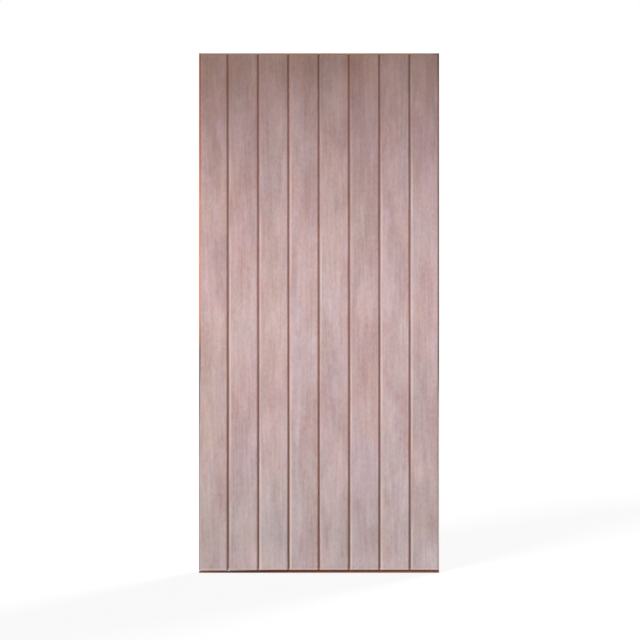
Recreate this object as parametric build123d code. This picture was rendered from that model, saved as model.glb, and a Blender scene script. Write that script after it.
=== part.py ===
from build123d import *
import os

# A shiplap timber door leaf: V-jointed boards on both faces of a grooved frame, with lipped edges.
# Sizes are in millimetres. X runs across the leaf from its hinge edge, Z runs up from its
# underside, and Y runs through it, with the front face towards -Y. The origin is at the foot of
# the hinge edge, in the middle of the thickness.

# The leaf as a whole
leaf_width = 915.0
leaf_height = 1981.0
leaf_thickness = 44.0

# The boards: each laps over the next one's tongue, behind a V joint
board_thickness = 12.0
board_cover = 115.5  # from one joint line to the next
narrowest_outer_board = 55.0  # the outer boards are trimmed alike, but never narrower
v_depth = 5.5  # the chamfer on each side of a joint
lip_land = 1.5  # the flat end of a lip, below its chamfer
lap_length = 8.0  # how far a lip reaches over the next board's tongue
lap_clearance = 0.2  # between a lip and the tongue behind it
joint_gap = 3.0  # room for the boards to swell, at the lip and at the tongue's end
board_arris = 1.0  # the eased edge round the outside of the boards

# The lippings: solid strips on the four edges, set back from the board faces
side_lipping = 6.0
top_lipping = 6.0
bottom_lipping = 10.0
lipping_set_back = 4.0
lipping_arris = 1.0

# The frame between the two faces, with its joints and its infill panels
stile_width = 95.0
top_rail_height = 95.0
lock_rail_height = 190.0
lock_rail_centre = 990.0  # above the underside of the leaf
bottom_rail_height = 190.0
groove_width = 8.0
groove_depth = 12.0
tongue_clearance = 0.2  # on each side of a tongue or tenon
tongue_end_gap = 1.0  # between the end of a tongue or tenon and the bottom of its groove

# Levels and faces that the pieces share
face_y = -leaf_thickness / 2
seat_y = face_y + board_thickness
frame_thickness = leaf_thickness - 2 * board_thickness
field_left = side_lipping
field_right = leaf_width - side_lipping
field_width = field_right - field_left
field_bottom = bottom_lipping
field_top = leaf_height - top_lipping
field_height = field_top - field_bottom
opening_left = field_left + stile_width
opening_right = field_right - stile_width
lip_thickness = v_depth + lip_land
rebate_width = lap_length + joint_gap
tongue_thickness = groove_width - 2 * tongue_clearance
tongue_length = groove_depth - tongue_end_gap

from_corner = (Align.MIN, Align.CENTER, Align.MIN)


def joint_lines():
    """The X of each joint between boards, from the hinge edge: full boards, centred on the leaf."""
    full_boards = int((field_width - 2 * narrowest_outer_board) // board_cover)
    outer_board = (field_width - full_boards * board_cover) / 2
    first = field_left + outer_board
    return [first + number * board_cover for number in range(full_boards + 1)]


def corner_on_face(section, side):
    """The section's corner on the show face: side 0 is the left one and side -1 the right one."""
    return section.vertices().group_by(Axis.Y)[0].sort_by(Axis.X)[side]


def board_section(left, right, laps_under, laps_over):
    """Section of a front board that shows from left to right.

    A board that laps under has a tongue behind its left neighbour's lip. One that laps over has a
    lip, rebated from the back, in front of its right neighbour's tongue.
    """
    with BuildSketch() as section:
        with Locations((left, face_y)):
            Rectangle(right - left, board_thickness, align=Align.MIN)
        if laps_under:
            tongue = board_thickness - lip_thickness - lap_clearance
            with Locations((left, seat_y)):
                Rectangle(rebate_width, tongue, align=Align.MAX)
        if laps_over:
            with Locations((right, seat_y)):
                Rectangle(
                    rebate_width,
                    board_thickness - lip_thickness,
                    align=Align.MAX,
                    mode=Mode.SUBTRACT,
                )
        chamfer(corner_on_face(section, 0), v_depth if laps_under else board_arris)
        chamfer(corner_on_face(section, -1), v_depth if laps_over else board_arris)
    return section.sketch


def front_boards():
    """The boards of the front face, from the hinge edge to the latch edge."""
    joints = joint_lines()
    lefts = [field_left] + [x + joint_gap / 2 for x in joints]
    rights = [x - joint_gap / 2 for x in joints] + [field_right]
    boards = []
    for left, right in zip(lefts, rights):
        section = board_section(left, right, left != field_left, right != field_right)
        board = Pos(0, 0, field_bottom) * extrude(section, amount=field_height)
        ends_on_face = board.edges().filter_by(Axis.X).group_by(Axis.Y)[0]
        boards.append(chamfer(ends_on_face, board_arris))
    return boards


def lippings():
    """The four edge strips: the side ones run the full height and the others fit between them."""
    depth = leaf_thickness - 2 * lipping_set_back
    hinge = Box(side_lipping, depth, leaf_height, align=from_corner)
    hinge = chamfer(hinge.edges().filter_by(Axis.Z).group_by(Axis.X)[0], lipping_arris)
    latch = mirror(hinge, about=Plane.YZ.offset(leaf_width / 2))
    top = Pos(field_left, 0, field_top) * Box(field_width, depth, top_lipping, align=from_corner)
    top = chamfer(top.edges().filter_by(Axis.X).group_by(Axis.Z)[-1], lipping_arris)
    bottom = Pos(field_left, 0, 0) * Box(field_width, depth, bottom_lipping, align=from_corner)
    bottom = chamfer(bottom.edges().filter_by(Axis.X).group_by(Axis.Z)[0], lipping_arris)
    return {
        "hinge_lipping": hinge,
        "latch_lipping": latch,
        "top_lipping": top,
        "bottom_lipping": bottom,
    }


def stile():
    """The hinge stile, grooved down its inner edge for the rails' tenons and the infill."""
    body = Pos(field_left, 0, field_bottom) * Box(
        stile_width, frame_thickness, field_height, align=from_corner
    )
    groove = Pos(opening_left - groove_depth, 0, field_bottom) * Box(
        groove_depth, groove_width, field_height, align=from_corner
    )
    return body - groove


def rail(bottom, height, groove_under, groove_over):
    """A rail between the stiles, with a stub tenon at each end and grooves where infill meets it."""
    length = opening_right - opening_left
    body = Pos(opening_left, 0, bottom) * Box(length, frame_thickness, height, align=from_corner)
    tenon_length = length + 2 * tongue_length
    tenons = Pos(opening_left - tongue_length, 0, bottom) * Box(
        tenon_length, tongue_thickness, height, align=from_corner
    )
    made = body + tenons
    groove = Box(tenon_length, groove_width, groove_depth, align=from_corner)
    if groove_under:
        made -= Pos(opening_left - tongue_length, 0, bottom) * groove
    if groove_over:
        made -= Pos(opening_left - tongue_length, 0, bottom + height - groove_depth) * groove
    return made


def infill(bottom, top):
    """A core panel between two rails, tongued on all four edges."""
    width = opening_right - opening_left
    height = top - bottom
    body = Pos(opening_left, 0, bottom) * Box(width, frame_thickness, height, align=from_corner)
    tongues = Pos(opening_left - tongue_length, 0, bottom - tongue_length) * Box(
        width + 2 * tongue_length,
        tongue_thickness,
        height + 2 * tongue_length,
        align=from_corner,
    )
    return body + tongues


def frame():
    """Stiles, rails and core panels, all as thick as the room between the two board faces."""
    top_rail_bottom = field_top - top_rail_height
    lock_rail_bottom = lock_rail_centre - lock_rail_height / 2
    hinge_stile = stile()
    return {
        "hinge_stile": hinge_stile,
        "latch_stile": mirror(hinge_stile, about=Plane.YZ.offset(leaf_width / 2)),
        "top_rail": rail(top_rail_bottom, top_rail_height, True, False),
        "lock_rail": rail(lock_rail_bottom, lock_rail_height, True, True),
        "bottom_rail": rail(field_bottom, bottom_rail_height, False, True),
        "upper_core": infill(lock_rail_bottom + lock_rail_height, top_rail_bottom),
        "lower_core": infill(field_bottom + bottom_rail_height, lock_rail_bottom),
    }


def door_leaf():
    """Every piece of the leaf, by name."""
    pieces = {}
    for number, board in enumerate(front_boards(), start=1):
        pieces[f"front_board_{number}"] = board
        pieces[f"back_board_{number}"] = mirror(board, about=Plane.XZ)
    pieces.update(lippings())
    pieces.update(frame())
    return pieces


os.makedirs("parts", exist_ok=True)
for name, piece in door_leaf().items():
    export_step(piece, f"parts/{name}.step")
    print(name, round(piece.volume / 1e3, 1), "cm3")
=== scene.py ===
# %% [markdown]
# # A shiplap timber door leaf
#
# This notebook dresses one door leaf: eight upright boards a side, a thin strip of darker timber
# round the edge, and a frame that nobody sees. The construction is already made and loads as a
# fixed frame, in metres: X across from the hinge edge, Y through the leaf with the front towards
# -Y, and Z up from the foot. What is left to Blender is what the eye gets: boards with soft
# arrises, and timber that looks like timber.
#
# The box of the bare construction is kept here, because the dressed leaf may never grow out of it.

# %% Load the construction
import math
import random

import bmesh
import bpy
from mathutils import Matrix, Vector, noise


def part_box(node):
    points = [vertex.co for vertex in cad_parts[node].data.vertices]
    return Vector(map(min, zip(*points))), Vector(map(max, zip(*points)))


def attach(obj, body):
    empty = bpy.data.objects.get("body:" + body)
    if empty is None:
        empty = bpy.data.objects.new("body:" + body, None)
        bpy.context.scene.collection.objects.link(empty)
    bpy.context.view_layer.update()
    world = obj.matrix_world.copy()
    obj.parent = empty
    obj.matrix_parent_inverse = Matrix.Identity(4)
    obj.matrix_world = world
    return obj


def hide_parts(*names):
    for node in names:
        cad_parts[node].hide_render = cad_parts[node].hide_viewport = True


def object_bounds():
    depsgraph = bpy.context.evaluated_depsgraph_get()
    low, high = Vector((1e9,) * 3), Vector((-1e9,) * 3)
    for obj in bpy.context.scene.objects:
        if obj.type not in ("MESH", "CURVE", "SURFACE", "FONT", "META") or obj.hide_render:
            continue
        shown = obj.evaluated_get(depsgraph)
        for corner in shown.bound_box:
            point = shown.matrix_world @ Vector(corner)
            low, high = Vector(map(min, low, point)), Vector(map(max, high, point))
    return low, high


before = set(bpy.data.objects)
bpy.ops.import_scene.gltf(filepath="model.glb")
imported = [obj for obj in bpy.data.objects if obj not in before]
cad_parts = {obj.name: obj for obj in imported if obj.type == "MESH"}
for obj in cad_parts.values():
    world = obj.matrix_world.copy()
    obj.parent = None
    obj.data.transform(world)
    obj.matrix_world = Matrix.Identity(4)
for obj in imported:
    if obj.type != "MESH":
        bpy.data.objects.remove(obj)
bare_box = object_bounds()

leaf_low, leaf_high = bare_box
leaf_width = leaf_high.x - leaf_low.x
leaf_height = leaf_high.z - leaf_low.z
face_depth = leaf_high.y
print(f"leaf {leaf_width:.3f} x {leaf_height:.3f} m, {2 * face_depth:.3f} m thick")

# %% [markdown]
# ## Where the eye stands
#
# The leaf is seen square on, from a little below its middle, and it fills about four fifths of the
# height. An orthographic camera would flatten the joints completely, and a wide lens close up would
# show the edges of the leaf. A long lens from nearly six metres does neither. The picture is taken
# as 640 by 640, so one pixel is 3.81 mm at the face of the boards, and the distance follows.

# %% The camera
picture_side = 640
metres_per_pixel = 0.00381
lens = 85.0
sensor = 36.0
view_centre = Vector((0.461, -face_depth, 0.964))
view_distance = picture_side * metres_per_pixel * lens / sensor

camera = bpy.data.objects.new("camera", bpy.data.cameras.new("camera"))
camera.data.lens = lens
camera.data.sensor_width = sensor
camera.location = view_centre - Vector((0, view_distance, 0))
camera.rotation_euler = (math.pi / 2, 0, 0)
bpy.context.scene.collection.objects.link(camera)
bpy.context.scene.camera = camera
print(f"camera {view_distance:.2f} m from the face")

# %% [markdown]
# ## Light that shows a V joint
#
# On a flat door the only relief is the V joint, so the light has to come from one side: the wall of
# the V that faces the light then turns pale and the other goes dark. A lamp close by would also
# make one side of the leaf brighter than the other, which isn't seen here. A sun lamp has the same
# strength everywhere, and a wide angle makes its shadows soft, so the key is a sun from the upper
# left. A second one behind the leaf does the same for its back, and an even sky fills the rest.

# %% Lamps and sky
def sun(name, azimuth, elevation, strength, softness):
    """A soft sun. Azimuth 0 shines along +Y, and a positive one comes from the left of that."""
    lamp = bpy.data.objects.new(name, bpy.data.lights.new(name, "SUN"))
    lamp.data.energy = strength
    lamp.data.angle = math.radians(softness)
    lamp.rotation_euler = (math.radians(90 - elevation), 0, math.radians(-azimuth))
    bpy.context.scene.collection.objects.link(lamp)
    return lamp


key = sun("key", azimuth=39, elevation=32, strength=2.56, softness=16)
back = sun("back", azimuth=219, elevation=38, strength=2.3, softness=16)

sky_fill = 0.43
sky = bpy.data.worlds.new("sky")
sky.use_nodes = True
bpy.context.scene.world = sky


def seen_directly(tree):
    """1 for what the camera sees, also in gloss or through glass, and 0 for light that falls."""
    path = tree.nodes.new("ShaderNodeLightPath")
    gloss = tree.nodes.new("ShaderNodeMath")
    gloss.operation = "MAXIMUM"
    tree.links.new(path.outputs["Is Camera Ray"], gloss.inputs[0])
    tree.links.new(path.outputs["Is Glossy Ray"], gloss.inputs[1])
    either = tree.nodes.new("ShaderNodeMath")
    either.operation = "MAXIMUM"
    tree.links.new(gloss.outputs[0], either.inputs[0])
    tree.links.new(path.outputs["Is Transmission Ray"], either.inputs[1])
    return either.outputs[0]


strength = sky.node_tree.nodes.new("ShaderNodeMix")
strength.inputs["A"].default_value = sky_fill
strength.inputs["B"].default_value = 1.0
sky.node_tree.links.new(seen_directly(sky.node_tree), strength.inputs["Factor"])
background = sky.node_tree.nodes["Background"]
background.inputs["Color"].default_value = (1, 1, 1, 1)
sky.node_tree.links.new(strength.outputs["Result"], background.inputs["Strength"])
bpy.context.scene.view_settings.view_transform = "Standard"
print("key", key.data.energy, "back", back.data.energy, "sky", sky_fill)

# %% [markdown]
# ## A floor that stays white and keeps the shadow
#
# The leaf stands on a plain pale floor. The backdrop is white, so the floor has to reach white too
# without more light on the door. To the door it is a mid grey floor, which throws a soft light up
# the boards. What the camera sees of it is darker, with a white glow added that just lifts it to
# white where the lamps reach it. Where the leaf stands in their way that little is missing, so a
# faint shadow shows.

# %% The floor
floor_reach = 60.0
floor_grey = 0.45
floor_grey_shown = 0.15
floor_glow = 0.815

floor_mesh = bpy.data.meshes.new("floor")
floor_edge = [(-floor_reach, -floor_reach), (floor_reach, -floor_reach),
              (floor_reach, floor_reach), (-floor_reach, floor_reach)]
floor_mesh.from_pydata([(x, y, leaf_low.z) for x, y in floor_edge], [], [(0, 1, 2, 3)])
floor = bpy.data.objects.new("floor", floor_mesh)
bpy.context.scene.collection.objects.link(floor)

paper = bpy.data.materials.new("floor_paper")
paper.use_nodes = True
paper.node_tree.nodes.clear()
seen = seen_directly(paper.node_tree)
grey = paper.node_tree.nodes.new("ShaderNodeMix")
grey.inputs["A"].default_value = floor_grey
grey.inputs["B"].default_value = floor_grey_shown
paper.node_tree.links.new(seen, grey.inputs["Factor"])
lit = paper.node_tree.nodes.new("ShaderNodeBsdfDiffuse")
paper.node_tree.links.new(grey.outputs["Result"], lit.inputs["Color"])
level = paper.node_tree.nodes.new("ShaderNodeMath")
level.operation = "MULTIPLY"
level.inputs[1].default_value = floor_glow
paper.node_tree.links.new(seen, level.inputs[0])
glow = paper.node_tree.nodes.new("ShaderNodeEmission")
paper.node_tree.links.new(level.outputs[0], glow.inputs["Strength"])
both = paper.node_tree.nodes.new("ShaderNodeAddShader")
paper.node_tree.links.new(lit.outputs[0], both.inputs[0])
paper.node_tree.links.new(glow.outputs[0], both.inputs[1])
paper_out = paper.node_tree.nodes.new("ShaderNodeOutputMaterial")
paper.node_tree.links.new(both.outputs[0], paper_out.inputs["Surface"])
floor_mesh.materials.append(paper)
print("floor at", round(leaf_low.z, 4), "m")

# %% [markdown]
# ## A bench for mixing finishes
#
# Every finish below is a node tree, and timber takes a lot of nodes. Placing them one call at a time
# hides the idea behind the plumbing, so this small class holds the tree of one finish and has a
# short word for each move: stretch a noise along the grain, turn a value into a smooth step, lay one
# colour over another. All patterns are placed by the object's own coordinates. Each piece sits where
# the construction says, so they are metres on the real door, and a 4 mm streak is 4 mm wide. Each
# noise also takes a seed, which moves its start, so that no two patterns fall together.

# %% The finish bench
class Finish:
    """One finish of the door: a material whose nodes are added step by step."""

    def __init__(self, name):
        self.material = bpy.data.materials.new(name)
        self.material.use_nodes = True
        self.tree = self.material.node_tree
        self.shader = self.tree.nodes["Principled BSDF"]
        self.place = self.node("TexCoord").outputs["Object"]
        split = self.node("SeparateXYZ", {"Vector": self.place})
        self.across, self.through, self.up = split.outputs

    def node(self, kind, feeds=None, **settings):
        """A new node, with its settings made and its inputs fed with values or other nodes."""
        made = self.tree.nodes.new("ShaderNode" + kind)
        for setting, value in settings.items():
            setattr(made, setting, value)
        for socket, value in (feeds or {}).items():
            self.feed(made.inputs[socket], value)
        return made

    def feed(self, socket, value):
        """Links a socket to another node's output, or sets its value."""
        if isinstance(value, bpy.types.NodeSocket):
            self.tree.links.new(value, socket)
        else:
            socket.default_value = value

    def sum(self, operation, first, second=0.0, third=0.0):
        """Arithmetic on values, such as ADD, MULTIPLY or ABSOLUTE."""
        return self.node("Math", {0: first, 1: second, 2: third}, operation=operation).outputs[0]

    def share_of_height(self):
        """How far up the leaf a place is: 0 at the floor and 1 at the head."""
        return self.sum("MULTIPLY", self.up, 1 / leaf_height)

    def share_of_width(self):
        """How far across the leaf a place is: 0 at the hinge edge and 1 at the latch edge."""
        return self.sum("MULTIPLY", self.across, 1 / leaf_width)

    def point(self, x, y, z):
        """A place put together from three values."""
        return self.node("CombineXYZ", {"X": x, "Y": y, "Z": z}).outputs[0]

    def cloud(self, stretch, seed, detail, roughness=0.5):
        """Noise from 0 to 1, with so many features to the metre along X, Y and Z."""
        start = (seed, 2 * seed, 3 * seed)
        spread = self.node("Mapping", {"Vector": self.place, "Scale": stretch, "Location": start})
        feeds = {"Vector": spread.outputs[0], "Scale": 1.0, "Detail": detail, "Roughness": roughness}
        return self.node("TexNoise", feeds).outputs["Fac"]

    def gather(self, base, shares):
        """A base value plus a share of each pattern, counted from the pattern's middle, 0.5."""
        total = base
        for pattern, share in shares:
            total = self.sum("MULTIPLY_ADD", self.sum("SUBTRACT", pattern, 0.5), share, total)
        return total

    def step(self, value, start, end, low=0.0, high=1.0):
        """A smooth step from low to high as the value goes from start to end."""
        feeds = {"Value": value, 1: start, 2: end, 3: low, 4: high}
        return self.node("MapRange", feeds, interpolation_type="SMOOTHSTEP").outputs[0]

    def between(self, first, second, amount):
        """A value between two others, the second where the amount is 1."""
        # A Mix node keeps its plain values at places 2 and 3, and its colours at 6 and 7.
        return self.node("Mix", {0: amount, 2: first, 3: second}).outputs[0]

    def lay(self, under, over, amount, blend="MIX"):
        """One colour laid over another, by an amount from 0 to 1."""
        made = self.node("Mix", data_type="RGBA", blend_type=blend)
        for place, value in ((0, amount), (6, under), (7, over)):
            self.feed(made.inputs[place], value)
        return made.outputs[2]

    def shades(self, value, stops):
        """Colours that follow each other as the value grows, each at its own place from 0 to 1."""
        made = self.node("ValToRGB", {"Fac": value})
        elements = made.color_ramp.elements
        while len(elements) < len(stops):
            elements.new(1.0)
        for element, (place, colour) in zip(elements, stops):
            element.position = place
            element.color = colour
        return made.outputs["Color"]

    def done(self, colour, roughness, relief, relief_depth):
        """Feeds the shader: colour, roughness, and the relief as bumps of that many metres."""
        bump = self.node("Bump", {"Height": relief, "Distance": relief_depth, "Strength": 1.0})
        self.feed(self.shader.inputs["Base Color"], colour)
        self.feed(self.shader.inputs["Roughness"], roughness)
        self.feed(self.shader.inputs["Normal"], bump.outputs[0])
        print(self.material.name, len(self.tree.nodes), "nodes")
        return self.material


def tone(red, green, blue):
    """A colour in the linear values that the shader mixes in."""
    return (red, green, blue, 1.0)


# %% [markdown]
# ## How timber is figured
#
# A plank is a slice through a tree, so its pattern follows from where the slice was cut. Growth
# rings are shells round the pith. Here each board gets its own pith, a hand's breadth or two behind
# the face and tilted a little along its length, and the distance from it gives the rings: straight
# lines near a board's edges and long arches where the slice grazes a ring. On top of that come
# streaks that run with the grain, and the open pores of a red hardwood, short dark dashes a few
# millimetres long and only a few tenths wide. A noise stretched along the grain gives both.

# %% Rings, streaks and pores
pith_sway = 0.03
ring_ripple = 5.0
pores_across_grain = 2600
pores_along_grain = 130


def rings(finish, pith, tilt, spacing, seed):
    """The growth rings' light and dark, from 0 to 1, round a pith given in X and Y."""
    drift = finish.cloud((3, 3, 1.1), seed, detail=2)
    sway = finish.sum("MULTIPLY_ADD", drift, pith_sway, -pith_sway / 2)
    x = finish.sum("ADD", finish.sum("SUBTRACT", finish.across, pith[0]), sway)
    y = finish.sum("SUBTRACT", finish.through, pith[1])
    y = finish.sum("MULTIPLY_ADD", finish.up, tilt, y)
    reach = finish.node("VectorMath", {0: finish.point(x, y, 0.0)}, operation="LENGTH").outputs["Value"]
    ripple = finish.sum("MULTIPLY", finish.cloud((40, 40, 3), seed + 5, detail=3), ring_ripple)
    turns = finish.sum("MULTIPLY_ADD", reach, 2 * math.pi / spacing, ripple)
    return finish.sum("MULTIPLY_ADD", finish.sum("SINE", turns), 0.5, 0.5)


def with_grain(run, across_grain, along_grain):
    """Features to the metre along X, Y and Z, for grain that runs along X or Z."""
    if run == "Z":
        return (across_grain, across_grain, along_grain)
    return (along_grain, across_grain, across_grain)


def pores(finish, seed, run="Z"):
    """1 in the open pores, which are short dashes along the grain, and 0 between them."""
    dashes = finish.cloud(with_grain(run, pores_across_grain, pores_along_grain), seed, detail=1)
    return finish.step(dashes, 0.60, 0.70)


def relief_of(finish, streaks, open_pores):
    """The surface's relief: the streaks stand up a little, and the pores are sunk."""
    return finish.sum("MULTIPLY_ADD", open_pores, -0.6, finish.sum("MULTIPLY", streaks, 0.4))


# %% [markdown]
# ## The washed boards
#
# The boards are a red hardwood under a thin pale wash, laid on by brush. From the middle up to the
# head of the leaf the wash turns darker and browner: the brown is partly the timber's own, and the
# darkening is painted shade, as if from above. In the middle it is a dusty pink, and towards the foot
# it is greyer and cooler, with a paler band at the very foot that is a painted lift. So the finish
# starts with a run of shades by height. Every board then gets its own patches where the wash pooled,
# slow leans to warm or cool and to mauve or olive, and the marks of brush and grain: streaks a finger
# wide and a hand long, and flecks the size of a bean. Over the whole leaf the wash also cools a little
# from the hinge side to the latch side. Rings and pores stay faint, because the wash hides most of
# them.

# %% Shades of the wash
# The palest shade at the foot is a painted lift, and the two brown shades towards the head are painted
# shade over browner timber.
foot_pale_lift = tone(0.525, 0.405, 0.403)
foot_grey = tone(0.478, 0.37, 0.366)
low_pink = tone(0.53, 0.40, 0.395)
dusty_rose = tone(0.53, 0.38, 0.373)
middle_pink = tone(0.588, 0.42, 0.417)
upper_pink = tone(0.503, 0.344, 0.341)
warm_brown_in_shade = tone(0.36, 0.237, 0.230)
head_brown_in_shade = tone(0.27, 0.168, 0.143)
warm_tint = tone(1.045, 0.992, 0.935)
cool_tint = tone(0.955, 1.008, 1.065)
mauve_tint = tone(1.017, 0.973, 1.02)
olive_tint = tone(0.983, 1.027, 0.98)
thin_tint = tone(0.60, 0.46, 0.42)
thick_tint = tone(1.40, 1.54, 1.58)
ring_tint = tone(0.945, 0.925, 0.915)
pore_brown = tone(0.25, 0.13, 0.11)


def wash_by_height(finish, shift):
    """The wash's main shade at each height, its steps softened by slow clouds, with painted shade towards
    the head and a painted lift at the foot.
    """
    clouds = finish.cloud((12, 12, 3), shift, detail=4, roughness=0.6)
    height = finish.gather(finish.share_of_height(), [(clouds, 0.12)])
    return finish.shades(height, [
        (0.012, foot_pale_lift),
        (0.06, foot_grey),
        (0.18, low_pink),
        (0.32, dusty_rose),
        (0.50, middle_pink),
        (0.70, upper_pink),
        (0.89, warm_brown_in_shade),
        (0.99, head_brown_in_shade),
    ])


def brush_marks(finish, shift, evenness):
    """How thick the wash lies, round 0.5: pooled patches, blotches, streaks and flecks."""
    patches = finish.cloud((11, 11, 3.6), shift + 5, detail=4, roughness=0.55)
    pooled = finish.step(patches, 0.38, 0.60)
    blotches = finish.cloud((42, 42, 13), shift + 29, detail=2)
    streaks = finish.cloud((95, 95, 5.5), shift + 23, detail=3)
    flecks = finish.cloud((125, 125, 62), shift + 19, detail=2)
    marks = [(pooled, 0.16), (blotches, 0.22), (streaks, 0.38), (flecks, 0.34)]
    return finish.gather(evenness, marks), streaks


def lean(finish, wash, shift, one_tint, other_tint, over_leaf):
    """The wash leaning to one tint or the other, in patches and dabs, and slowly over the leaf."""
    slow = finish.cloud((9, 9, 3), shift, detail=2)
    dabs = finish.cloud((75, 75, 22), shift + 3, detail=1)
    specks = finish.cloud((140, 140, 50), shift + 7, detail=1)
    leafwide = finish.share_of_width()
    way = finish.gather(0.5, [(slow, 1.6), (dabs, 1.3), (specks, 0.5), (leafwide, over_leaf)])
    return finish.lay(wash, finish.lay(one_tint, other_tint, way), 1.0, "MULTIPLY")


# %% [markdown]
# ## Raw timber in the joints
#
# In the joints there is little wash: the depth below the face, which the Y coordinate gives, brings
# back the raw red-brown. The surface normal tells the two walls of each joint apart, by the way they
# face the key lamp, and what they get is partly painted light: the wall that faces the lamp is bare
# from a little nearer the face and darker and browner, and the wall in shade is brighter and redder,
# as if lit across the joint. Along the lit arris a pale line that comes and goes, and fades out
# towards the head, is a painted highlight. The brush reached further in near the head, so the joints
# are less bare there. Here and there, and all along the lowest half metre, a joint is brown with dust
# instead of red. Just above its foot each board is paler, a painted lift, and the last few
# millimetres are darkened, painted shade where the boards meet the bottom strip, with little of it
# near the hinge edge.

# %% Shades of the joints
# The brighter red shades are for the joint wall in shade and the darker ones for the wall that faces the
# key lamp: painted light. The pale tone is painted light at the arris and the foot, and the boards' wash
# where it is lapped onto the strips. The foot tone is painted shade.
shaded_wall_red = tone(0.45, 0.13, 0.055)
shaded_wall_dusty = tone(0.34, 0.15, 0.085)
lit_wall_red = tone(0.29, 0.105, 0.075)
lit_wall_brown = tone(0.22, 0.12, 0.095)
pale_wash_and_highlight = tone(0.72, 0.62, 0.58)
foot_shade = tone(0.14, 0.045, 0.02)

# %% [markdown]
# Next come the places where each of these starts and ends, in metres: depths below the face, widths
# beside the joint, heights above the floor and distances from the hinge edge. Between its two
# places a mark fades smoothly, because no brush stops at a line.

# %% Places of the marks in the joints
# The wall that faces the key lamp bares from a little nearer the face than the wall in shade: painted
# light.
lit_wall_bares = (0.0020, 0.0054)
shaded_wall_bares = (0.0024, 0.0054)
# Places of the painted highlight along the lit arris.
highlight_depth = (0.0004, 0.0020)
highlight_width = (0.002, 0.006)
highlight_top = (1.35, 1.75)
dusty_up_to = (0.2, 0.8)
joints_less_bare = (0.0, 1.6)
# Places of the painted lift and the painted shade at each board's foot.
foot_lift_height = (leaf_low.z + 0.014, leaf_low.z + 0.020)
foot_shade_height = (leaf_low.z + 0.0115, leaf_low.z + 0.0140)
foot_shade_from_hinge = (0.06, 0.30)


def joint_timber(finish, shift, faces_key):
    """The raw timber's colour: red, or brown with dust; darker and browner on the wall that faces the key
    lamp and brighter and redder on the wall in shade, which is painted light.
    """
    dust = finish.step(finish.cloud((6, 6, 5), shift + 53, detail=3), 0.42, 0.60)
    dust = finish.sum("MAXIMUM", dust, finish.step(finish.up, *dusty_up_to, low=0.9, high=0.0))
    red = finish.lay(shaded_wall_red, lit_wall_red, faces_key)
    brown = finish.lay(shaded_wall_dusty, lit_wall_brown, faces_key)
    return finish.lay(red, brown, dust)


def bareness(finish, depth, faces_key):
    """How bare the timber is: 0 on the face, and nearly 1 deep in a joint at the foot."""
    on_lit_wall = finish.step(depth, *lit_wall_bares)
    on_shaded_wall = finish.step(depth, *shaded_wall_bares)
    in_joint = finish.between(on_shaded_wall, on_lit_wall, faces_key)
    by_height = finish.step(finish.up, *joints_less_bare, low=0.95, high=0.50)
    return finish.sum("MULTIPLY", in_joint, by_height)


def painted_highlight_line(finish, shift, depth, onto_board):
    """The painted highlight along the lit arris: a pale line that comes and goes, fading out towards the
    head.
    """
    near_face = finish.step(depth, *highlight_depth, low=1.0, high=0.0)
    beside_joint = finish.step(onto_board, *highlight_width, low=1.0, high=0.0)
    highlight_amount = finish.sum("MULTIPLY", near_face, beside_joint)
    highlight_amount = finish.sum("MULTIPLY", highlight_amount, finish.step(finish.up, *highlight_top, low=0.34, high=0.0))
    comes_and_goes = finish.cloud((5, 5, 3), shift + 71, detail=3)
    return finish.sum("MULTIPLY", highlight_amount, finish.step(comes_and_goes, 0.36, 0.62, low=0.2, high=1.7))


def raw_joint(finish, wash, shift, side, highlight_arris):
    """The wash, with raw timber below the face, painted light on the joint's two walls, a painted
    highlight along the lit arris, and a painted lift and painted shade at the foot.
    """
    depth = finish.sum("SUBTRACT", face_depth, finish.sum("ABSOLUTE", finish.through))
    # Which way a wall faces the key lamp, by its normal: the colours it picks are painted light.
    normal = finish.node("SeparateXYZ", {0: finish.node("NewGeometry").outputs["Normal"]})
    faces_key = finish.step(finish.sum("MULTIPLY", normal.outputs["X"], side), -0.2, 0.2)
    raw = joint_timber(finish, shift, faces_key)
    bare = finish.lay(wash, raw, bareness(finish, depth, faces_key))
    # A painted highlight along the lit arris.
    onto_board = finish.sum("MULTIPLY", finish.sum("SUBTRACT", finish.across, highlight_arris), -side)
    highlight_amount = painted_highlight_line(finish, shift, depth, onto_board)
    # A paler band just above the foot: a painted lift.
    foot = finish.step(finish.up, *foot_lift_height, low=0.4, high=0.0)
    pale = finish.lay(bare, pale_wash_and_highlight, finish.sum("MAXIMUM", highlight_amount, foot))
    # The last few millimetres darkened: painted shade where the boards meet the bottom strip.
    painted_shade = finish.step(finish.up, *foot_shade_height, low=0.88, high=0.0)
    painted_shade = finish.sum("MULTIPLY", painted_shade, finish.step(finish.across, *foot_shade_from_hinge, low=0.1, high=1.0))
    return finish.lay(pale, foot_shade, painted_shade)


# %% [markdown]
# ## One finish a board
#
# A single finish for all boards would run its patches straight across the joints, and the leaf would
# look like one sheet with lines drawn on it. So each board draws its own numbers: where its patterns
# start and where its pith lay. How thick the wash lies on it is seen on the door: the third board
# from the hinge edge came out palest and the sixth darkest.

# %% The finish of one board
wash_on_board = [0.48, 0.50, 0.55, 0.53, 0.50, 0.46, 0.52, 0.49]
pith_behind_face = (0.05, 0.16)
pith_tilt = (0.015, 0.035)
board_ring_spacing = 0.0075
rings_through_wash = 0.6
pores_through_wash = 0.28


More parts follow.
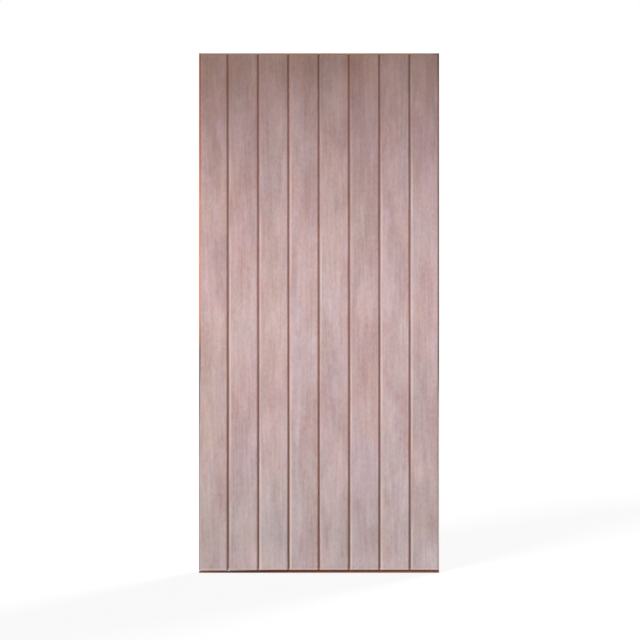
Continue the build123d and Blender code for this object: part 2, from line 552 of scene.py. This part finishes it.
def washed_board(name, number, seed, left, right, side, highlight_arris):
    """The finish of one board, between its left and right edge, on the front (-1) or back (1)."""
    chance = random.Random(seed)
    finish = Finish(name)
    shift = chance.uniform(0, 90)
    wash = wash_by_height(finish, shift)
    wash = lean(finish, wash, shift + 11, warm_tint, cool_tint, over_leaf=0.3)
    wash = lean(finish, wash, shift + 61, mauve_tint, olive_tint, over_leaf=0.0)
    thickness, streaks = brush_marks(finish, shift, wash_on_board[number - 1])
    wash = finish.lay(wash, finish.lay(thin_tint, thick_tint, thickness), 1.0, "MULTIPLY")
    pith = (chance.uniform(left, right), -side * chance.uniform(*pith_behind_face))
    growth = rings(finish, pith, chance.uniform(*pith_tilt), board_ring_spacing, shift + 31)
    rings_shown = finish.sum("MULTIPLY", growth, rings_through_wash)
    wash = finish.lay(wash, ring_tint, rings_shown, "MULTIPLY")
    open_pores = pores(finish, shift + 47)
    wash = finish.lay(wash, pore_brown, finish.sum("MULTIPLY", open_pores, pores_through_wash))
    colour = raw_joint(finish, wash, shift, side, highlight_arris)
    roughness = finish.sum("MULTIPLY_ADD", streaks, 0.16, 0.58)
    relief = relief_of(finish, streaks, open_pores)
    finish.shader.inputs["Specular IOR Level"].default_value = 0.3
    return finish.done(colour, roughness, relief, relief_depth=0.00025)


# %% [markdown]
# ## The shape of a board
#
# Each board is one length of timber with the same section all along: a flat face, a bevel down into
# the joint on each side, and behind the bevels the tongue and the lip that lap over each other. The
# quick way is a box with a bevel modifier, but it would bevel every corner alike. Here the section
# is drawn corner by corner and run up the board row by row, so that the face can be very slightly
# crowned, the arrises can be eased by hand-rubbed curves, and the bevel can wander by a fraction of
# a millimetre on its way up, as a worn cutter leaves it.

# %% Sizes of the board's section, in metres
board_thickness = 0.012
bevel = 0.0055
lip_land = 0.0015
lap_clearance = 0.0002
rebate_width = 0.011
outer_arris = 0.0005
end_rounding = 0.001
eased_arris = 0.0012
bevel_foot = 0.0003
crown = 0.00012
bevel_wander = 0.00025
row_spacing = 0.022
face_runs = 22
curve_steps = 4


def eased(before, corner, after, reach):
    """Points of a curve that rounds a corner off, starting and ending at reach from it."""
    start = corner + (before - corner).normalized() * reach
    end = corner + (after - corner).normalized() * reach
    shares = [step / curve_steps for step in range(curve_steps + 1)]
    return [(1 - s) ** 2 * start + 2 * s * (1 - s) * corner + s ** 2 * end for s in shares]


def board_outline(left, right, laps_under, laps_over, bevel_left, bevel_right):
    """The board's section at one height: points in X and depth below the face, round the outline."""
    seat = board_thickness
    lip = bevel + lip_land
    corners = []
    if laps_under:
        tongue = lip + lap_clearance
        corners += [(left - rebate_width, seat, 0), (left - rebate_width, tongue, 0)]
        corners += [(left, tongue, 0), (left, bevel_left, bevel_foot)]
        corners += [(left + bevel_left, 0, eased_arris)]
    else:
        corners += [(left, seat, 0), (left, 0, outer_arris)]
    if laps_over:
        corners += [(right - bevel_right, 0, eased_arris), (right, bevel_right, bevel_foot)]
        corners += [(right, lip, 0), (right - rebate_width, lip, 0), (right - rebate_width, seat, 0)]
    else:
        corners += [(right, 0, outer_arris), (right, seat, 0)]
    points = []
    for number, (x, depth, reach) in enumerate(corners):
        corner = Vector((x, depth))
        before = Vector(corners[number - 1][:2])
        after = Vector(corners[(number + 1) % len(corners)][:2])
        if reach:
            points += eased(before, corner, after, reach)
        else:
            points.append(corner)
        if depth == 0 and after.y == 0:
            start = points[-1]
            end = after + (corner - after).normalized() * corners[number + 1][2]
            points += [start.lerp(end, run / face_runs) for run in range(1, face_runs)]
    middle = (left + right) / 2
    half = (right - left) / 2
    for point in points:
        if point.y < crown:
            point.y = max(point.y, crown * ((point.x - middle) / half) ** 2)
    return points


# %% [markdown]
# The ends of a board have a small arris too. It isn't worth modelling apart: in the last millimetre
# every point of the row is pressed back to at least the depth of a quarter round, and the rows are
# set closer together there.

# %% Running a section into a piece
def rows_between(low, high, end_arris):
    """Places of the rows along a piece, with how far the end arris presses the face back there."""
    curl = [end_arris * (1 - math.sin(math.pi / 2 * step / curve_steps)) for step in range(curve_steps)]
    run_in = [end_arris * (1 - math.cos(math.pi / 2 * step / curve_steps)) for step in range(curve_steps)]
    middle_rows = max(2, round((high - low - 2 * end_arris) / row_spacing))
    start, end = low + end_arris, high - end_arris
    middle = [(start + (end - start) * row / middle_rows, 0.0) for row in range(middle_rows + 1)]
    foot = [(low + away, press) for away, press in zip(run_in, curl)]
    head = [(high - away, press) for away, press in zip(run_in, curl)]
    return foot + middle + head[::-1]


def run_piece(name, rows, finish):
    """A solid piece skinned over rows of points, each row a closed outline."""
    shape = bmesh.new()
    placed = [[shape.verts.new(point) for point in row] for row in rows]
    for row, following in zip(placed, placed[1:]):
        for number in range(len(row)):
            one, two = number, (number + 1) % len(row)
            shape.faces.new((row[one], row[two], following[two], following[one]))
    shape.faces.new(placed[0][::-1])
    shape.faces.new(placed[-1])
    bmesh.ops.recalc_face_normals(shape, faces=shape.faces)
    mesh = bpy.data.meshes.new(name)
    shape.to_mesh(mesh)
    shape.free()
    mesh.shade_smooth()
    mesh.set_sharp_from_angle(angle=math.radians(35))
    mesh.materials.append(finish)
    piece = bpy.data.objects.new(name, mesh)
    bpy.context.scene.collection.objects.link(piece)
    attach(piece, "root")
    return piece


def wander(seed, along, size, per_metre=1.7):
    """A slow drift to either side of nothing, the same each time for the same seed."""
    return size * noise.noise(Vector((seed, along * per_metre, 0.5 * seed)))


# %% [markdown]
# Now the sixteen boards. Their places come from the construction's own boards: the box of a middle
# board runs from its tongue to its lip, so its left edge on the face is one rebate in from the box.
# The back boards are the same with Y turned round.

# %% The boards on both faces
boards_a_side = sum(1 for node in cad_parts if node.startswith("front_board_"))
seeds_for_back = 50


def board(side_name, number):
    """One board of the front or back face, in place."""
    node = f"{side_name}_board_{number}"
    side = -1 if side_name == "front" else 1
    low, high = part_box(node)
    laps_under = number > 1
    laps_over = number < boards_a_side
    left = low.x + (rebate_width if laps_under else 0)
    right = high.x
    seed = number if side < 0 else number + seeds_for_back
    rows = []
    for z, press in rows_between(low.z, high.z, end_rounding):
        outline = board_outline(
            left, right, laps_under, laps_over,
            bevel + wander(seed, z, bevel_wander),
            bevel + wander(seed + 0.5, z, bevel_wander),
        )
        rows.append([(p.x, side * (face_depth - max(p.y, press)), z) for p in outline])
    # The arris on the key lamp's side of each joint gets the painted highlight.
    if side < 0:
        highlight_arris = left + bevel if laps_under else leaf_low.x - 1
    else:
        highlight_arris = right - bevel if laps_over else leaf_high.x + 1
    finish = washed_board(f"washed_{node}", number, seed, left, right, side, highlight_arris)
    piece = run_piece(f"dressed_{node}", rows, finish)
    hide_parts(node)
    return piece


for side_name in ("front", "back"):
    for number in range(1, boards_a_side + 1):
        made = board(side_name, number)
        print(made.name, len(made.data.vertices), "points")

# %% [markdown]
# ## The edge strips
#
# Four strips close the leaf's edges, set a little back from the faces, so the front shows only a
# thin line of them. They are bare red-brown hardwood. On their face the hinge strip is a bright
# orange from half height up, lighter than the timber is, which is painted light from the key lamp's
# side, and rusty towards its head. Where it is orange the latch strip is a darker brown, which is
# painted shade, as the boards shade it from the key lamp. Both side strips turn grubby grey lower
# down and then pale, where they took some of the boards' wash. The brush also lapped the wash onto
# the first two millimetres beside the boards, all along the latch side but for its head, and on the
# lower two thirds of the hinge side, where it is thin along the grubby stretch. It is laid paler than
# the boards' wash, a painted lift against the boards' shadow on the latch side. The last centimetre
# above the floor is dark red-brown all round, and nearly black for a stretch under the first two
# boards, which is painted shade. It is darkest close under the boards, painted shade from their
# ends, but for the hinge end, where a pale painted lift brightens that shade. So each strip gets its
# own run of shades from one end to the other, the side strips an amount of lapped wash by height, and
# all share the shades near the floor. The outer sides are plain red-brown timber. A shade's place is
# a share of the leaf's height or width, from 0 at the floor or the hinge edge to 1.

# %% Shades of the edge strips
# The hinge strip's bright orange is painted light from the key lamp's side over reddish hardwood.
strip_orange_lit = tone(0.73, 0.225, 0.055)
strip_rust = tone(0.42, 0.095, 0.028)
strip_rust_dark = tone(0.28, 0.05, 0.015)
strip_red = tone(0.37, 0.13, 0.07)
# The latch strip's darker brown is painted shade.
strip_brown_in_shade = tone(0.22, 0.11, 0.07)
strip_head = tone(0.27, 0.07, 0.03)
strip_dark = tone(0.09, 0.03, 0.017)
# Nearly black under the first two boards: painted shade.
strip_deep_shade = tone(0.11, 0.025, 0.01)
top_red = tone(0.34, 0.15, 0.08)
head_grey = tone(0.27, 0.195, 0.175)
grubby_grey = tone(0.13, 0.09, 0.08)
strip_washed = tone(0.32, 0.24, 0.23)
strip_pale = tone(0.62, 0.49, 0.48)
# A pale painted lift at the hinge end, and a tint for painted shade close under the boards' ends.
pale_lift = tone(0.82, 0.70, 0.65)
under_board_shade_tint = tone(0.35, 0.35, 0.40)
side_red = tone(0.34, 0.17, 0.105)
side_dark = tone(0.20, 0.085, 0.05)

hinge_shades = [
    (0.04, strip_washed),
    (0.22, strip_washed),
    (0.33, grubby_grey),
    (0.42, grubby_grey),
    (0.50, strip_orange_lit),
    (0.72, strip_orange_lit),
    (0.84, strip_rust),
    (0.98, strip_rust_dark),
]
# The latch strip runs darker than the hinge strip: painted shade.
latch_shades = [
    (0.28, strip_pale),
    (0.40, grubby_grey),
    (0.48, strip_brown_in_shade),
    (0.74, strip_brown_in_shade),
    (0.92, strip_head),
    (0.99, strip_dark),
]
top_shades = [
    (0.23, head_grey),
    (0.29, top_red),
    (0.92, top_red),
    (0.96, head_grey),
    (0.99, grubby_grey),
]
bottom_shades = [
    (0.01, strip_head),
    (0.09, strip_deep_shade),
    (0.24, strip_deep_shade),
    (0.42, strip_head),
    (0.90, strip_red),
]

# %% [markdown]
# The lapped wash is given the same way: a share of the leaf's height, and how much wash lies there.
# It fades out two millimetres from the boards. The marks near the floor each start and end at a
# height, or at a distance from the hinge edge. The run of shades gives way to plain timber where
# the strip's face turns the corner, which is measured from the middle of the leaf's thickness. All
# these are metres again.

# %% Places of the marks on the strips
hinge_lap = [
    (0.36, 1.0),
    (0.40, 0.2),
    (0.46, 0.2),
    (0.52, 0.6),
    (0.62, 0.5),
    (0.70, 0.0),
]
latch_lap = [
    (0.94, 1.0),
    (0.985, 0.0),
]
lap_width = (0.0013, 0.0021)
# How much paler than the boards' wash the lapped wash is laid: a painted lift.
lap_pale_lift = 0.65
dark_above_floor = (0.0102, 0.0125)
# The painted shade rises towards the boards' ends, and the painted lift lies just under them.
shade_rises = (0.0030, 0.0060)
lift_rises = (0.0064, 0.0082)
lift_from_hinge = (0.06, 0.28)
face_begins = (0.0155, 0.0172)


def lapped_wash(finish, colour, seed, board_edge, amounts):
    """The strip's colour, with the boards' wash lapped onto it close beside their edge, laid paler as a
    painted lift.
    """
    beside = finish.sum("ABSOLUTE", finish.sum("SUBTRACT", finish.across, board_edge))
    lapped = finish.step(beside, *lap_width, low=1.0, high=0.0)
    stops = [(place, tone(amount, amount, amount)) for place, amount in amounts]
    lapped = finish.sum("MULTIPLY", lapped, finish.shades(finish.share_of_height(), stops))
    wash = finish.lay(wash_by_height(finish, seed), pale_wash_and_highlight, lap_pale_lift)
    return finish.lay(colour, wash, lapped)


def near_floor(finish, colour):
    """The strip's colour, with the dark last centimetre, painted shade under the boards and a painted lift
    at the hinge end.
    """
    low_down = finish.step(finish.up, *dark_above_floor, low=1.0, high=0.0)
    at_foot = finish.shades(finish.share_of_width(), bottom_shades)
    colour = finish.lay(colour, at_foot, low_down)
    # Painted shade close under the boards' ends.
    painted_shade = finish.step(finish.up, *shade_rises, low=0.0, high=0.85)
    colour = finish.lay(colour, under_board_shade_tint, finish.sum("MULTIPLY", painted_shade, low_down), "MULTIPLY")
    # A pale painted lift at the hinge end.
    lift_amount = finish.step(finish.up, *lift_rises, low=0.0, high=0.9)
    lift_amount = finish.sum("MULTIPLY", lift_amount, low_down)
    lift_amount = finish.sum("MULTIPLY", lift_amount, finish.step(finish.across, *lift_from_hinge, low=1.0, high=0.0))
    return finish.lay(colour, pale_lift, lift_amount)


def plain_side(finish, seed, patches):
    """The plain red-brown timber of a strip's outer side."""
    growth = rings(finish, pith=(0.45, 0.10), tilt=0.02, spacing=0.005, seed=seed)
    return finish.lay(side_dark, side_red, finish.gather(0.5, [(patches, 1.2), (growth, 0.4)]))


def strip_timber(name, seed, run, shades, board_edge, lap_amounts):
    """Red-brown strip, its grain along X or Z, with a run of shades along its faces."""
    finish = Finish(name)
    patches = finish.cloud(with_grain(run, 14, 3), seed, detail=3)
    streaks = finish.cloud(with_grain(run, 300, 9), seed + 7, detail=4, roughness=0.6)
    blur = finish.cloud(with_grain(run, 60, 6), seed + 19, detail=3)
    place = finish.share_of_height() if run == "Z" else finish.share_of_width()
    colour = finish.shades(finish.gather(place, [(blur, 0.12)]), shades)
    if lap_amounts:
        colour = lapped_wash(finish, colour, seed + 37, board_edge, lap_amounts)
    colour = near_floor(finish, colour)
    on_face = finish.step(finish.sum("ABSOLUTE", finish.through), *face_begins)
    colour = finish.lay(plain_side(finish, seed + 31, patches), colour, on_face)
    light = finish.gather(1.0, [(streaks, 0.7)])
    colour = finish.lay(colour, light, 1.0, "MULTIPLY")
    open_pores = pores(finish, seed + 13, run)
    colour = finish.lay(colour, strip_dark, finish.sum("MULTIPLY", open_pores, 0.4))
    roughness = finish.sum("MULTIPLY_ADD", streaks, 0.2, 0.58)
    relief = relief_of(finish, streaks, open_pores)
    finish.shader.inputs["Specular IOR Level"].default_value = 0.2
    return finish.done(colour, roughness, relief, relief_depth=0.0002)


# %% [markdown]
# In shape the strips are plain sticks with an eased outer arris. They are run like the boards, with
# the rows along the stick. The corners that lie against the boards get only a hair's breadth of
# easing, which is enough to draw a fine line at the joints.

# %% The four strips
strip_arris = 0.001
strip_easing = 0.00025
strip_end = 0.00025


def strip_outline(low, high, outer_side):
    """The strip's section as points in outward distance and Y, with the outer corners eased more."""
    corners = [(low[0], low[1]), (high[0], low[1]), (high[0], high[1]), (low[0], high[1])]
    points = []
    for number, corner in enumerate(corners):
        before, after = corners[number - 1], corners[(number + 1) % 4]
        outer = corner[0] == (high[0] if outer_side > 0 else low[0])
        reach = strip_arris if outer else strip_easing
        points += eased(Vector(before), Vector(corner), Vector(after), reach)
    return points


def strip(node, run, outer_side, seed, shades, lap_amounts=()):
    """One edge strip in the place of its node, running along X or Z."""
    low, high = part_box(node)
    board_edge = high.x if outer_side < 0 else low.x
    if run == "Z":
        outline = strip_outline((low.x, low.y), (high.x, high.y), outer_side)
        span = (low.z, high.z)
    else:
        outline = strip_outline((low.z, low.y), (high.z, high.y), outer_side)
        span = (low.x, high.x)
    middle = sum(outline, Vector((0, 0))) / len(outline)
    rows = []
    for along, press in rows_between(*span, strip_end):
        row = []
        for point in outline:
            inward = middle - point
            held = point + Vector((math.copysign(press, inward.x), math.copysign(press, inward.y)))
            place = (held.x, held.y, along) if run == "Z" else (along, held.y, held.x)
            row.append(place)
        rows.append(row)
    finish = strip_timber(f"strip_{node}", seed, run, shades, board_edge, lap_amounts)
    piece = run_piece(f"dressed_{node}", rows, finish)
    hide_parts(node)
    return piece


strips = [
    strip("hinge_lipping", "Z", -1, 3.0, hinge_shades, hinge_lap),
    strip("latch_lipping", "Z", 1, 17.0, latch_shades, latch_lap),
    strip("top_lipping", "X", 1, 29.0, top_shades),
    strip("bottom_lipping", "X", -1, 41.0, bottom_shades),
]
for made in strips:
    print(made.name, len(made.data.vertices), "points")

# %% [markdown]
# ## The frame inside
#
# Stiles, rails and core panels carry the boards and never show. Their shape is right as it comes
# from the construction, so they keep it, and only get timber: planed pale joinery timber for the
# frame, and a paler one with wider rings for the core.

# %% Finish of the hidden timber
def joinery_timber(name, seed, run, pale, dark, ring_spacing):
    """Plain planed timber with soft rings, its grain along X or Z."""
    finish = Finish(name)
    streaks = finish.cloud(with_grain(run, 300, 7), seed, detail=4, roughness=0.6)
    pith = (0.4 + 0.01 * seed, 0.09)
    growth = rings(finish, pith, tilt=0.02, spacing=ring_spacing, seed=seed + 3)
    colour = finish.lay(pale, dark, finish.sum("MULTIPLY", growth, 0.5))
    light = finish.sum("MULTIPLY_ADD", streaks, 0.3, 0.85)
    colour = finish.lay(colour, light, 1.0, "MULTIPLY")
    roughness = finish.sum("MULTIPLY_ADD", streaks, 0.2, 0.5)
    return finish.done(colour, roughness, streaks, relief_depth=0.0001)


frame_pale = tone(0.66, 0.48, 0.31)
frame_dark = tone(0.52, 0.34, 0.19)
frame_rings = 0.004
core_pale = tone(0.70, 0.56, 0.39)
core_dark = tone(0.56, 0.42, 0.26)
core_rings = 0.009
upright = joinery_timber("frame_upright", 5.0, "Z", frame_pale, frame_dark, frame_rings)
level_timber = joinery_timber("frame_level", 9.0, "X", frame_pale, frame_dark, frame_rings)
core_timber = joinery_timber("core", 13.0, "Z", core_pale, core_dark, core_rings)
hidden = {
    "hinge_stile": upright,
    "latch_stile": upright,
    "top_rail": level_timber,
    "lock_rail": level_timber,
    "bottom_rail": level_timber,
    "upper_core": core_timber,
    "lower_core": core_timber,
}
for node, timber in hidden.items():
    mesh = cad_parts[node].data
    mesh.materials.clear()
    mesh.materials.append(timber)
print(len(hidden), "hidden pieces finished")
